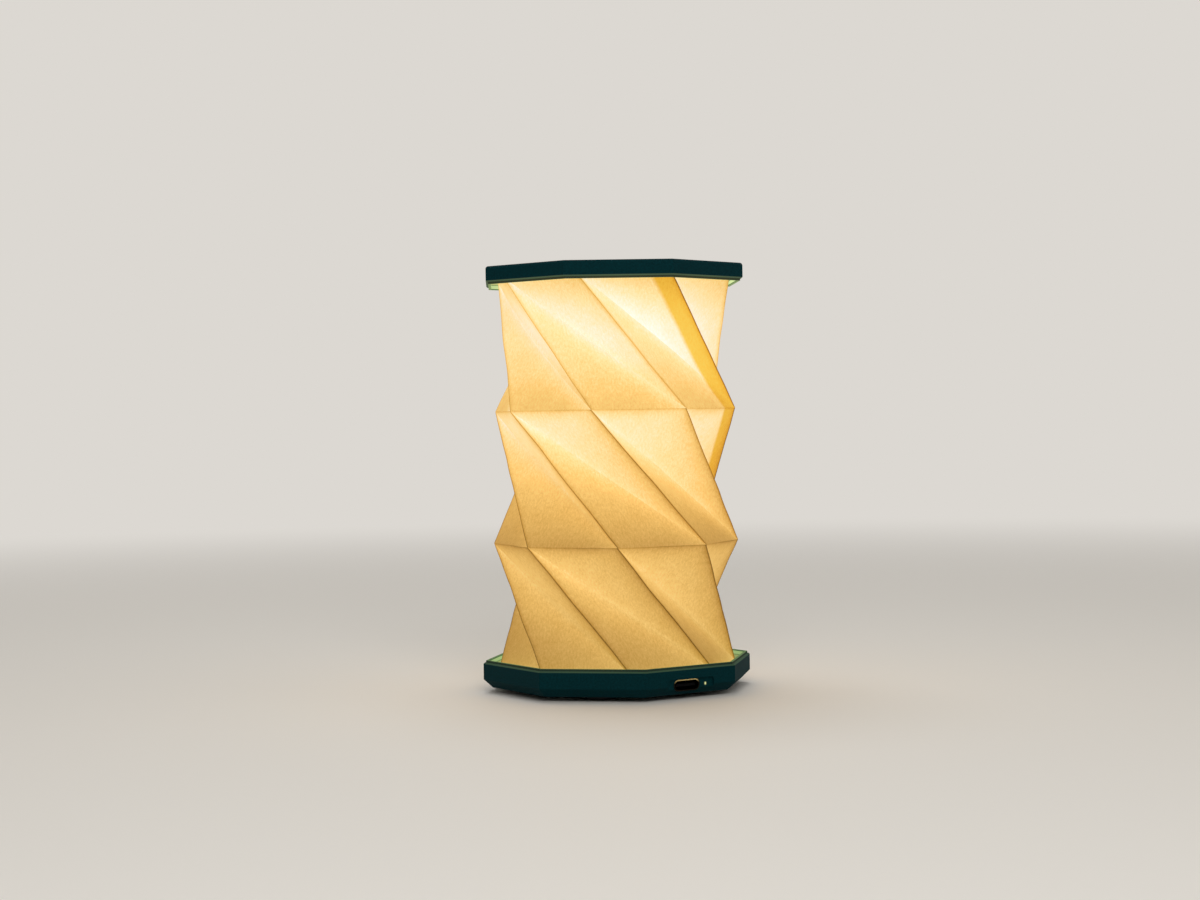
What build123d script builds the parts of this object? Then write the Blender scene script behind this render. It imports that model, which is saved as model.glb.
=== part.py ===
from build123d import *

import os
from math import cos, pi, radians, sin

# A folding paper table lamp: two octagonal plastic housings, and between them one pleated paper
# sleeve of three stories that twists as it folds, so that the cap screws down onto the base.
# Millimetres, +Z up. The origin is on the table, on the lamp's axis. The charging port faces -Y.
# Turns are angles about +Z from +X, and each octagon's turn is the angle of one of its corners.

# ---------------------------------------------------------------- driving dimensions
SIDES = 8

# Both housings
HOUSING_FLATS = 75.0  # across the flats, outside
WALL = 1.5
RIM_CHAMFER = 0.4  # on the wall's edge, outside the lip
LIP_INSET = 0.7  # from the outside to the lip
LIP_RISE = 0.6

# Base housing
FOOT_PROUD = 1.5  # the rubber feet below the housing
BASE_CHAMFER = 2.5  # the slope under the wall
BASE_WALL = 5.0  # from the slope to the rim
BASE_RECESS = 2.6  # from the lip down to the floor that carries the shade
BASE_FLOOR = 1.0
BASE_TURN = 22.5  # a flat faces the front

# Cap housing
CAP_HEIGHT = 5.2  # from the lip to the top
CAP_RECESS = 2.2  # from the lip up to the ceiling that carries the shade
CAP_TOP = 1.2
CAP_ROUND = 0.85  # along the top edge
LINER = 1.0  # the plate that closes the cap
LINER_LEDGE = 1.0
LINER_GAP = 0.1

# Paper shade
STORY_HEIGHTS = (36.65, 39.25, 39.1)  # from the base up, with the lamp open
STORY_TURNS = (51.25, 55.9, 51.15)  # how far each mountain crease goes round on its way down
RING_IN = 2.53  # from the recess's corners to those of the two rings of creases between the stories
BASE_RING_IN = 3.57  # the glued ends are drawn in a little more
CAP_RING_IN = 2.97
BASE_RING_SKEW = -4.5  # from the housing's corner to the shade's
CAP_RING_SKEW = 3.0
PAPER = 0.35
FLAP = 4.0  # the glued edge, folded inwards
FLAP_THICK = 0.3
TAPE = 0.2
TAPE_INSET = 0.5

# Motion
CLOSED_GAP = 0.3  # between the two lips when the lamp is shut
CORNERS_PASSED = 2  # corners of the base that a corner of the cap passes on its way down

# Bottom cover and feet
COVER = 1.0
COVER_GAP = 0.15
COVER_EDGE = 4.3  # from the housing's outside to the cover's opening, across a flat
COVER_LEDGE = 0.8
CAVITY_RISE = 2.2  # the sloped part of the cavity's wall
FOOT = 9.0
FOOT_RECESS = 0.3
FOOT_IN = 7.0  # from the cover's flats to the middle of a foot
FOOT_ROUND = 0.6
COVER_SCREW = 2.0
COVER_SCREW_HEAD = 3.8
COVER_SCREW_LENGTH = 3.6
COVER_SCREW_IN = 4.3  # from the cover's corners
COVER_BOSS = 5.0
THREAD_GAP = 0.02
SCREW_HOLE_GAP = 0.15
SLOT_WIDTH = 0.45
SLOT_DEPTH = 0.4

# Charging port
USB_WIDTH = 8.94
USB_HEIGHT = 3.26
USB_LENGTH = 7.3
USB_SHEET = 0.3
USB_X = -1.1
USB_Z = 4.2
USB_GAP = 0.1
TONGUE_WIDTH = 6.69
TONGUE_THICK = 0.7
TONGUE_SETBACK = 0.7
USB_BLOCK = 1.9  # the moulding that closes the shell at the back
POCKET_WIDTH = 16.0
POCKET_DEPTH = 0.75
POCKET_OVER = 0.27  # above the port
POCKET_ROUND = 1.0
PIPE = 1.0  # the charging light's clear pin
PIPE_X = 5.4
PIPE_GAP = 0.02

# Circuit board in the base
BOARD = 0.8
BOARD_WIDTH = 34.0
BOARD_IN = 3.9  # from the housing's front to the board's
BOARD_LENGTH = 28.0
BOARD_CORNER = 4.0
BOARD_NOTCH_GAP = 0.15
BOARD_SCREW = 1.6
BOARD_SCREW_HEAD = 2.8
BOARD_SCREW_HEAD_THICK = 0.8
BOARD_SCREW_LENGTH = 2.4
BOARD_SCREW_EDGE = 4.0  # from the board's sides to its screws
BOARD_SCREW_FRONT = 8.1  # from the board's front to the front pair
BOARD_SCREW_Y = 15.0  # from the front pair to the back pair
STANDOFF = 3.6
CHARGE_LED = (1.6, 1.0, 0.7)
CHIP = (3.0, 3.0, 0.8)
CHIP_SPOT = (6.0, 14.6)  # each spot is measured from the middle of the board's front edge
DRIVER_CHIP = (2.9, 1.6, 1.0)
DRIVER_SPOT = (7.0, 20.6)
COIL = (3.2, 3.2, 1.2)
COIL_SPOT = (-7.5, 17.1)
SENSOR = (2.8, 1.5, 0.9)
SENSOR_SPOT = (5.0, 26.0)
PART_ROUND = 0.2
CAPACITOR = (1.6, 0.8, 0.8)
CAPACITOR_SPOTS = ((-8.5, 12.1), (-4.8, 12.1), (2.0, 12.1), (10.8, 13.6), (10.8, 16.4), (3.0, 18.1))

# Battery
CELL_FRONT_GAP = 7.1  # from the board's back edge to the cell
CELL_THICK = 3.0
CELL_BACK_GAP = 3.9  # from the cavity's lower edge, behind
CELL_CORNER_GAP = 0.22  # from the cavity's lower edge, at the slanting sides
CELL_ROUND = 1.2
CELL_TAPE_THICK = 0.3
CELL_TAPE_IN = 3.0  # from the cell's edges
PLUG = (5.0, 4.4, 1.3)
PLUG_SPOT = (-6.6, 25.2)
LEAD_WIRE = 0.8
LEAD_WIRE_PITCH = 1.6
LEAD_WIRE_RISE = 1.6  # the length in which the battery's wires climb to their plug

# Closing magnet and keeper
MAGNET = 10.0
MAGNET_THICK = 1.5
MAGNET_GAP = 0.1
MAGNET_COLLAR = 1.1
KEEPER = 14.0
KEEPER_THICK = 0.5
KEEPER_GAP = 0.1

# Light in the cap
LED_BOARD = 23.0
LED_BOARD_THICK = 0.8
LED_BOARD_HOLE = 16.0  # in the liner behind the board
LED_COUNT = 8
LED_SIZE = (2.8, 3.5, 0.7)
LED_SPREAD = 6.5
LED_SCREW_COUNT = 3
LED_SCREW_SPREAD = 9.9
LED_SCREW_HEAD_THICK = 0.6
LED_SCREW_LENGTH = 1.6
DOME = 26.0
DOME_WALL = 0.8
DOME_SIDE = 2.0
DOME_DEPTH = 3.6
DOME_BOW = 0.35  # how far the dome's underside bows below a straight line

# Lead between the housings
LEAD = 0.9
RELIEF = 3.0
RELIEF_FLANGE = 4.6
RELIEF_FLANGE_THICK = 0.4
RELIEF_GAP = 0.02
RELIEF_OUT = 2.5  # from the keeper's edge to the base's strain relief
CAP_RELIEF = 2.4
LEAD_LOOP_RADIUS = 7.0
LEAD_LOOP_COUNT = 3
LEAD_POINT_COUNT = 6  # in each loop
LEAD_END = 4.0  # the straight stretch out of each strain relief

# ---------------------------------------------------------------- levels, from the table up
side_angle = 360 / SIDES
base_under_z = FOOT_PROUD
slope_top_z = base_under_z + BASE_CHAMFER
base_rim_z = slope_top_z + BASE_WALL
base_lip_z = base_rim_z + LIP_RISE
floor_z = base_lip_z - BASE_RECESS
floor_under_z = floor_z - BASE_FLOOR
cover_top_z = base_under_z + COVER
shade_low_z = floor_z + TAPE
shade_high_z = shade_low_z + sum(STORY_HEIGHTS)
ceiling_z = shade_high_z + TAPE
cap_lip_z = ceiling_z - CAP_RECESS
cap_rim_z = cap_lip_z + LIP_RISE
cap_top_z = cap_lip_z + CAP_HEIGHT
cap_plate_z = cap_top_z - CAP_TOP
liner_top_z = ceiling_z + LINER

# Widths that both housings share, and the base's cavity
recess_flats = HOUSING_FLATS - 2 * WALL
cover_seat_flats = HOUSING_FLATS - 2 * COVER_EDGE
cavity_low_flats = cover_seat_flats - 2 * COVER_LEDGE
cover_flats = cover_seat_flats - 2 * COVER_GAP
recess_radius = recess_flats / 2 / cos(pi / SIDES)
cover_radius = cover_flats / 2 / cos(pi / SIDES)
front_y = -HOUSING_FLATS / 2
pocket_floor_y = front_y + POCKET_DEPTH

# The rings of creases, from the base up, and the cap's turn, which the shade settles
ring_z = [shade_low_z + sum(STORY_HEIGHTS[:i]) for i in range(len(STORY_HEIGHTS) + 1)]
ring_turn = [BASE_TURN + BASE_RING_SKEW - sum(STORY_TURNS[:i]) for i in range(len(STORY_TURNS) + 1)]
ring_in = [BASE_RING_IN] + [RING_IN] * (len(STORY_HEIGHTS) - 1) + [CAP_RING_IN]
ring_radius = [recess_radius - inset for inset in ring_in]
cap_turn = ring_turn[-1] - CAP_RING_SKEW

# The cap's way down, and its turn on the way
cap_travel = cap_lip_z - base_lip_z - CLOSED_GAP
cap_twist = (cap_turn - BASE_TURN) % side_angle + CORNERS_PASSED * side_angle


# ---------------------------------------------------------------- shared shapes
def octagon(flats, turn, mode=Mode.ADD):
    """An octagon in the active sketch, as wide as flats across its flats."""
    return RegularPolygon(flats / 2, SIDES, major_radius=False, rotation=turn, mode=mode)


def ring_points(spots, radius, start):
    """Evenly spaced points round the axis, the first at the angle start."""
    angles = [radians(start + 360 * i / spots) for i in range(spots)]
    return [(radius * cos(a), radius * sin(a)) for a in angles]


def tube(path, diameter):
    """A round wire along path."""
    with BuildPart() as wire:
        with BuildLine():
            add(path)
        with BuildSketch(Plane(path @ 0, z_dir=path % 0)):
            Circle(diameter / 2)
        sweep()
    return wire.part


def finish(piece, name):
    """Names a finished piece and writes its file."""
    piece.label = name
    export_step(piece, f"parts/{name}.step")


os.makedirs("parts", exist_ok=True)

# ---------------------------------------------------------------- base housing
cover_screw_x = (cover_radius - COVER_SCREW_IN) * cos(radians(BASE_TURN))
cover_screw_y = (cover_radius - COVER_SCREW_IN) * sin(radians(BASE_TURN))
cover_screw_spots = [(x, y) for x in (cover_screw_x, -cover_screw_x) for y in (cover_screw_y, -cover_screw_y)]
board_front_y = front_y + BOARD_IN
board_mid_y = board_front_y + BOARD_LENGTH / 2
board_back_y = board_front_y + BOARD_LENGTH
board_screw_x = BOARD_WIDTH - 2 * BOARD_SCREW_EDGE
board_screw_y = board_front_y + BOARD_SCREW_FRONT + BOARD_SCREW_Y / 2
board_z = USB_Z - BOARD / 2
board_top_z = board_z + BOARD
relief_y = -(KEEPER / 2 + RELIEF_OUT + RELIEF / 2)

with BuildPart() as base_tray:
    with BuildSketch(Plane.XY.offset(base_under_z)):
        octagon(HOUSING_FLATS, BASE_TURN)
    extrude(amount=base_rim_z - base_under_z)
    chamfer(base_tray.faces().sort_by(Axis.Z)[0].edges(), BASE_CHAMFER)
    chamfer(base_tray.faces().sort_by(Axis.Z)[-1].edges(), RIM_CHAMFER)
    with BuildSketch(Plane.XY.offset(base_rim_z)):
        octagon(HOUSING_FLATS - 2 * LIP_INSET, BASE_TURN)
    extrude(amount=LIP_RISE)
    # The recess that the folded shade drops into
    with BuildSketch(Plane.XY.offset(floor_z)):
        octagon(recess_flats, BASE_TURN)
    extrude(amount=BASE_RECESS, mode=Mode.SUBTRACT)
    # The cavity for board and battery, over the cover's seat
    with BuildSketch(Plane.XY.offset(base_under_z)):
        octagon(cover_seat_flats, BASE_TURN)
    extrude(amount=COVER, mode=Mode.SUBTRACT)
    with BuildSketch(Plane.XY.offset(cover_top_z)):
        octagon(cavity_low_flats, BASE_TURN)
    with BuildSketch(Plane.XY.offset(cover_top_z + CAVITY_RISE)):
        octagon(recess_flats, BASE_TURN)
    loft(mode=Mode.SUBTRACT)
    with BuildSketch(Plane.XY.offset(cover_top_z + CAVITY_RISE)):
        octagon(recess_flats, BASE_TURN)
    extrude(amount=floor_under_z - cover_top_z - CAVITY_RISE, mode=Mode.SUBTRACT)
    # Bosses for the cover's screws, and standoffs that hold the board under the floor
    with BuildSketch(Plane.XY.offset(cover_top_z)):
        with Locations(*cover_screw_spots):
            Circle(COVER_BOSS / 2)
    extrude(amount=floor_under_z - cover_top_z)
    with BuildSketch(Plane.XY.offset(board_top_z)):
        with Locations((0, board_screw_y)):
            with GridLocations(board_screw_x, BOARD_SCREW_Y, 2, 2):
                Circle(STANDOFF / 2)
    extrude(amount=floor_under_z - board_top_z)
    with BuildSketch(Plane.XY.offset(cover_top_z)):
        with Locations(*cover_screw_spots):
            Circle(COVER_SCREW / 2 + THREAD_GAP)
    extrude(amount=COVER_SCREW_LENGTH - COVER + SCREW_HOLE_GAP, mode=Mode.SUBTRACT)
    with BuildSketch(Plane.XY.offset(board_top_z)):
        with Locations((0, board_screw_y)):
            with GridLocations(board_screw_x, BOARD_SCREW_Y, 2, 2):
                Circle(BOARD_SCREW / 2 + THREAD_GAP)
    extrude(amount=BOARD_SCREW_LENGTH - BOARD + SCREW_HOLE_GAP, mode=Mode.SUBTRACT)
    # The pocket round the port, open to the slope below, then the port's slot and the light's hole
    with BuildSketch(Plane.XZ.offset(-pocket_floor_y)):
        pocket_top_z = USB_Z + USB_HEIGHT / 2 + POCKET_OVER
        with Locations((0, pocket_top_z - POCKET_WIDTH / 4)):
            RectangleRounded(POCKET_WIDTH, POCKET_WIDTH / 2, POCKET_ROUND)
    extrude(amount=POCKET_DEPTH, mode=Mode.SUBTRACT)
    with BuildSketch(Plane.XZ.offset(-pocket_floor_y)):
        with Locations((USB_X, USB_Z)):
            SlotOverall(USB_WIDTH + 2 * USB_GAP, USB_HEIGHT + 2 * USB_GAP)
        with Locations((PIPE_X, USB_Z)):
            Circle(PIPE / 2 + PIPE_GAP)
    extrude(amount=-USB_LENGTH, mode=Mode.SUBTRACT)
    # The keeper's seat in the floor, and the hole for the lead's strain relief
    with BuildSketch(Plane.XY.offset(floor_z - KEEPER_THICK)):
        Circle(KEEPER / 2 + KEEPER_GAP)
    extrude(amount=KEEPER_THICK, mode=Mode.SUBTRACT)
    with BuildSketch(Plane.XY.offset(floor_under_z)):
        with Locations((0, relief_y)):
            Circle(RELIEF / 2 + RELIEF_GAP)
    extrude(amount=BASE_FLOOR, mode=Mode.SUBTRACT)
finish(base_tray.part, "base_tray")

# ---------------------------------------------------------------- bottom cover, screws and feet
foot_spots = ring_points(4, cover_flats / 2 - FOOT_IN, 45)
head_depth = (COVER_SCREW_HEAD - COVER_SCREW) / 2

with BuildPart() as bottom_cover:
    with BuildSketch(Plane.XY.offset(base_under_z)):
        octagon(cover_flats, BASE_TURN)
    extrude(amount=COVER)
    with BuildSketch(Plane.XY.offset(base_under_z)):
        with Locations(*foot_spots):
            Circle(FOOT / 2)
    extrude(amount=FOOT_RECESS, mode=Mode.SUBTRACT)
    with Locations([Location((x, y, base_under_z), (180, 0, 0)) for x, y in cover_screw_spots]):
        CounterSinkHole(COVER_SCREW / 2 + THREAD_GAP, COVER_SCREW_HEAD / 2 + THREAD_GAP, depth=COVER)
finish(bottom_cover.part, "bottom_cover")

with BuildPart() as bottom_screws:
    with BuildSketch(Plane.XY.offset(base_under_z)):
        with Locations(*cover_screw_spots):
            Circle(COVER_SCREW_HEAD / 2)
    extrude(amount=head_depth, taper=45)
    with BuildSketch(Plane.XY.offset(base_under_z)):
        with Locations(*cover_screw_spots):
            Circle(COVER_SCREW / 2)
    extrude(amount=COVER_SCREW_LENGTH)
    with BuildSketch(Plane.XY.offset(base_under_z)):
        with Locations(*cover_screw_spots):
            Rectangle(COVER_SCREW, SLOT_WIDTH)
            Rectangle(SLOT_WIDTH, COVER_SCREW)
    extrude(amount=SLOT_DEPTH, mode=Mode.SUBTRACT)
finish(bottom_screws.part, "bottom_screws")

with BuildPart() as rubber_feet:
    with BuildSketch():
        with Locations(*foot_spots):
            Circle(FOOT / 2)
    extrude(amount=FOOT_PROUD + FOOT_RECESS)
    fillet(rubber_feet.faces().group_by(Axis.Z)[0].edges(), FOOT_ROUND)
finish(rubber_feet.part, "rubber_feet")

# ---------------------------------------------------------------- circuit board and what is on it
usb_notch = USB_WIDTH + 2 * BOARD_NOTCH_GAP
usb_back_y = pocket_floor_y + USB_LENGTH

with BuildPart() as main_board:
    with BuildSketch(Plane.XY.offset(board_z)) as outline:
        with Locations((0, board_mid_y)):
            Rectangle(BOARD_WIDTH, BOARD_LENGTH)
        chamfer(outline.vertices().group_by(Axis.Y)[0], BOARD_CORNER)
        with Locations((USB_X, usb_back_y + BOARD_NOTCH_GAP)):
            Rectangle(usb_notch, USB_LENGTH, align=(Align.CENTER, Align.MAX), mode=Mode.SUBTRACT)
        with Locations((PIPE_X, board_front_y)):
            notch_width = CHARGE_LED[0] + 2 * BOARD_NOTCH_GAP
            notch_depth = 2 * (CHARGE_LED[1] + 2 * BOARD_NOTCH_GAP)
            Rectangle(notch_width, notch_depth, mode=Mode.SUBTRACT)
        with Locations((0, board_screw_y)):
            with GridLocations(board_screw_x, BOARD_SCREW_Y, 2, 2):
                Circle(BOARD_SCREW / 2 + THREAD_GAP, mode=Mode.SUBTRACT)
    extrude(amount=BOARD)
finish(main_board.part, "main_board")

with BuildPart() as board_screws:
    with BuildSketch(Plane.XY.offset(board_z - BOARD_SCREW_HEAD_THICK)):
        with Locations((0, board_screw_y)):
            with GridLocations(board_screw_x, BOARD_SCREW_Y, 2, 2):
                Circle(BOARD_SCREW_HEAD / 2)
    extrude(amount=BOARD_SCREW_HEAD_THICK)
    with BuildSketch(Plane.XY.offset(board_z)):
        with Locations((0, board_screw_y)):
            with GridLocations(board_screw_x, BOARD_SCREW_Y, 2, 2):
                Circle(BOARD_SCREW / 2)
    extrude(amount=BOARD_SCREW_LENGTH)
    with BuildSketch(Plane.XY.offset(board_z - BOARD_SCREW_HEAD_THICK)):
        with Locations((0, board_screw_y)):
            with GridLocations(board_screw_x, BOARD_SCREW_Y, 2, 2):
                Rectangle(BOARD_SCREW, SLOT_WIDTH)
                Rectangle(SLOT_WIDTH, BOARD_SCREW)
    extrude(amount=SLOT_DEPTH, mode=Mode.SUBTRACT)
finish(board_screws.part, "board_screws")

with BuildPart() as usb_c_shell:
    with BuildSketch(Plane.XZ.offset(-pocket_floor_y)):
        with Locations((USB_X, USB_Z)):
            SlotOverall(USB_WIDTH, USB_HEIGHT)
            SlotOverall(USB_WIDTH - 2 * USB_SHEET, USB_HEIGHT - 2 * USB_SHEET, mode=Mode.SUBTRACT)
    extrude(amount=-USB_LENGTH)
finish(usb_c_shell.part, "usb_c_shell")

with BuildPart() as usb_c_tongue:
    with BuildSketch(Plane.XZ.offset(-usb_back_y)):
        with Locations((USB_X, USB_Z)):
            SlotOverall(USB_WIDTH - 2 * USB_SHEET, USB_HEIGHT - 2 * USB_SHEET)
    extrude(amount=USB_BLOCK)
    with BuildSketch(Plane.XZ.offset(-usb_back_y)):
        with Locations((USB_X, USB_Z)):
            Rectangle(TONGUE_WIDTH, TONGUE_THICK)
    extrude(amount=USB_LENGTH - TONGUE_SETBACK)
finish(usb_c_tongue.part, "usb_c_tongue")

with BuildPart() as charge_led:
    with BuildSketch(Plane.XY.offset(USB_Z - CHARGE_LED[2] / 2)):
        with Locations((PIPE_X, board_front_y + CHARGE_LED[1] / 2)):
            Rectangle(CHARGE_LED[0], CHARGE_LED[1])
    extrude(amount=CHARGE_LED[2])
finish(charge_led.part, "charge_led")

with BuildPart() as charge_light_pipe:
    with BuildSketch(Plane.XZ.offset(-pocket_floor_y)):
        with Locations((PIPE_X, USB_Z)):
            Circle(PIPE / 2)
    extrude(amount=pocket_floor_y - board_front_y)
finish(charge_light_pipe.part, "charge_light_pipe")


def board_part(name, size, spots):
    """Moulded parts of one kind, soldered to the board's upper side."""
    with BuildPart() as chip:
        with BuildSketch(Plane.XY.offset(board_top_z)):
            with Locations((0, board_front_y)):
                with Locations(*spots):
                    Rectangle(size[0], size[1])
        extrude(amount=size[2])
        chamfer(chip.faces().group_by(Axis.Z)[-1].edges(), PART_ROUND)
    finish(chip.part, name)


board_part("charger_chip", CHIP, [CHIP_SPOT])
board_part("led_driver_chip", DRIVER_CHIP, [DRIVER_SPOT])
board_part("power_inductor", COIL, [COIL_SPOT])
board_part("hall_sensor", SENSOR, [SENSOR_SPOT])
board_part("chip_capacitors", CAPACITOR, CAPACITOR_SPOTS)
board_part("battery_plug", PLUG, [PLUG_SPOT])

# ---------------------------------------------------------------- battery
cell_top_z = floor_under_z - CELL_TAPE_THICK
cell_mid_z = cell_top_z - CELL_THICK / 2
cell_back_y = cavity_low_flats / 2 - CELL_BACK_GAP
cell_front_y = board_back_y + CELL_FRONT_GAP
cell_length = cell_back_y - cell_front_y
cell_mid_y = (cell_front_y + cell_back_y) / 2
cell_width = 2 * (cavity_low_flats / 2 / cos(pi / 4) - cell_back_y - CELL_CORNER_GAP)
plug_back_y = board_front_y + PLUG_SPOT[1] + PLUG[1] / 2
wire_mid_y = (plug_back_y + cell_front_y) / 2
plug_mid_z = board_top_z + PLUG[2] / 2

with BuildPart() as battery_cell:
    with BuildSketch(Plane.XY.offset(cell_top_z - CELL_THICK)):
        with Locations((0, cell_mid_y)):
            RectangleRounded(cell_width, cell_length, CELL_ROUND)
    extrude(amount=CELL_THICK)
    fillet(battery_cell.faces().filter_by(Axis.Z).edges(), CELL_ROUND / 2)
finish(battery_cell.part, "battery_cell")

with BuildPart() as battery_tape:
    with BuildSketch(Plane.XY.offset(cell_top_z)):
        with Locations((0, cell_mid_y)):
            Rectangle(cell_width - 2 * CELL_TAPE_IN, cell_length - 2 * CELL_TAPE_IN)
    extrude(amount=CELL_TAPE_THICK)
finish(battery_tape.part, "battery_tape")

battery_wires = []
for side in (-1, 1):
    wire_x = PLUG_SPOT[0] + side * LEAD_WIRE_PITCH / 2
    wire_path = FilletPolyline(
        (wire_x, cell_front_y, cell_mid_z),
        (wire_x, wire_mid_y + LEAD_WIRE_RISE / 2, cell_mid_z),
        (wire_x, wire_mid_y - LEAD_WIRE_RISE / 2, plug_mid_z),
        (wire_x, plug_back_y, plug_mid_z),
        radius=1.5 * LEAD_WIRE,
        mode=Mode.PRIVATE,
    )
    battery_wires.append(tube(wire_path, LEAD_WIRE))
with BuildPart() as battery_leads:
    add(battery_wires)
finish(battery_leads.part, "battery_leads")

# ---------------------------------------------------------------- paper shade
def crease_ring(level, inset):
    """The corners of one ring of creases, drawn in towards the axis by inset."""
    corners = ring_points(SIDES, ring_radius[level] - inset, ring_turn[level])
    return [Vector(x, y, ring_z[level]) for x, y in corners]


def end_flats(level):
    """The width across the flats of the shade's end."""
    return 2 * ring_radius[level] * cos(pi / SIDES)


def facet(*corners):
    """A flat paper facet, or half of the strip that closes an end."""
    return Face(Wire.make_polygon(corners, close=True))


def sleeve_skin(inset):
    """Each story's facets: one stands on the ring below, the next hangs from the ring above."""
    facets = []
    for level in range(len(STORY_HEIGHTS)):
        low = crease_ring(level, inset)
        high = crease_ring(level + 1, inset)
        for i in range(SIDES):
            after = (i + 1) % SIDES
            facets.append(facet(low[i], low[after], high[i]))
            facets.append(facet(high[i], low[after], high[after]))
    return facets


def end_strip(level):
    """The paper's cut edge round one end of the sleeve."""
    outer = crease_ring(level, 0)
    inner = crease_ring(level, PAPER)
    facets = []
    for i in range(SIDES):
        after = (i + 1) % SIDES
        facets.append(facet(outer[i], outer[after], inner[after]))
        facets.append(facet(outer[i], inner[after], inner[i]))
    return facets


top_level = len(STORY_HEIGHTS)
sleeve_faces = sleeve_skin(0) + sleeve_skin(PAPER) + end_strip(0) + end_strip(top_level)
sleeve = Solid(Shell(sleeve_faces))

with BuildPart() as paper_shade:
    add(sleeve)
    for level, flap_z in ((0, ring_z[0]), (top_level, ring_z[-1] - FLAP_THICK)):
        with BuildSketch(Plane.XY.offset(flap_z)):
            octagon(end_flats(level) - PAPER, ring_turn[level])
            octagon(end_flats(level) - 2 * FLAP, ring_turn[level], mode=Mode.SUBTRACT)
        extrude(amount=FLAP_THICK)
finish(paper_shade.part, "paper_shade")

for tape_name, level, tape_z in (("shade_base_tape", 0, floor_z), ("shade_cap_tape", top_level, ring_z[-1])):
    with BuildPart() as shade_tape:
        with BuildSketch(Plane.XY.offset(tape_z)):
            octagon(end_flats(level) - 2 * TAPE_INSET, ring_turn[level])
            octagon(end_flats(level) - 2 * FLAP, ring_turn[level], mode=Mode.SUBTRACT)
        extrude(amount=TAPE)
    finish(shade_tape.part, tape_name)

# ---------------------------------------------------------------- cap housing
with BuildPart() as cap_shell:
    with BuildSketch(Plane.XY.offset(cap_rim_z)):
        octagon(HOUSING_FLATS, cap_turn)
    extrude(amount=cap_top_z - cap_rim_z)
    chamfer(cap_shell.faces().sort_by(Axis.Z)[0].edges(), RIM_CHAMFER)
    fillet(cap_shell.faces().sort_by(Axis.Z)[-1].edges(), CAP_ROUND)
    with BuildSketch(Plane.XY.offset(cap_lip_z)):
        octagon(HOUSING_FLATS - 2 * LIP_INSET, cap_turn)
    extrude(amount=LIP_RISE)
    with BuildSketch(Plane.XY.offset(cap_lip_z)):
        octagon(recess_flats, cap_turn)
    extrude(amount=liner_top_z - cap_lip_z, mode=Mode.SUBTRACT)
    with BuildSketch(Plane.XY.offset(liner_top_z)):
        octagon(recess_flats - 2 * LINER_LEDGE, cap_turn)
    extrude(amount=cap_plate_z - liner_top_z, mode=Mode.SUBTRACT)
    # The collar that centres the magnet
    with BuildSketch(Plane.XY.offset(liner_top_z)):
        Circle(MAGNET / 2 + MAGNET_GAP + MAGNET_COLLAR)
        Circle(MAGNET / 2 + MAGNET_GAP, mode=Mode.SUBTRACT)
    extrude(amount=cap_plate_z - liner_top_z)
finish(cap_shell.part, "cap_shell")

led_screw_spots = ring_points(LED_SCREW_COUNT, LED_SCREW_SPREAD, 90)
led_board_z = ceiling_z - LED_BOARD_THICK

with BuildPart() as cap_liner:
    with BuildSketch(Plane.XY.offset(ceiling_z)):
        octagon(recess_flats - 2 * LINER_GAP, cap_turn)
        Circle(LED_BOARD_HOLE / 2, mode=Mode.SUBTRACT)
        with Locations(*led_screw_spots):
            Circle(BOARD_SCREW / 2 + THREAD_GAP, mode=Mode.SUBTRACT)
    extrude(amount=LINER)
finish(cap_liner.part, "cap_liner")

with BuildPart() as cap_magnet:
    with BuildSketch(Plane.XY.offset(cap_plate_z - MAGNET_GAP - MAGNET_THICK)):
        Circle(MAGNET / 2)
    extrude(amount=MAGNET_THICK)
finish(cap_magnet.part, "cap_magnet")

with BuildPart() as keeper_plate:
    with BuildSketch(Plane.XY.offset(floor_z - KEEPER_THICK)):
        Circle(KEEPER / 2)
    extrude(amount=KEEPER_THICK)
finish(keeper_plate.part, "keeper_plate")

# ---------------------------------------------------------------- light in the cap
with BuildPart() as led_board:
    with BuildSketch(Plane.XY.offset(led_board_z)):
        Circle(LED_BOARD / 2)
        with Locations(*led_screw_spots):
            Circle(BOARD_SCREW / 2 + THREAD_GAP, mode=Mode.SUBTRACT)
    extrude(amount=LED_BOARD_THICK)
finish(led_board.part, "led_board")

with BuildPart() as leds:
    with BuildSketch(Plane.XY.offset(led_board_z - LED_SIZE[2])):
        with PolarLocations(LED_SPREAD, LED_COUNT):
            Rectangle(LED_SIZE[0], LED_SIZE[1])
    extrude(amount=LED_SIZE[2])
finish(leds.part, "leds")

with BuildPart() as led_board_screws:
    with BuildSketch(Plane.XY.offset(led_board_z - LED_SCREW_HEAD_THICK)):
        with Locations(*led_screw_spots):
            Circle(BOARD_SCREW_HEAD / 2)
    extrude(amount=LED_SCREW_HEAD_THICK)
    with BuildSketch(Plane.XY.offset(led_board_z)):
        with Locations(*led_screw_spots):
            Circle(BOARD_SCREW / 2)
    extrude(amount=LED_SCREW_LENGTH)
finish(led_board_screws.part, "led_board_screws")

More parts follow.
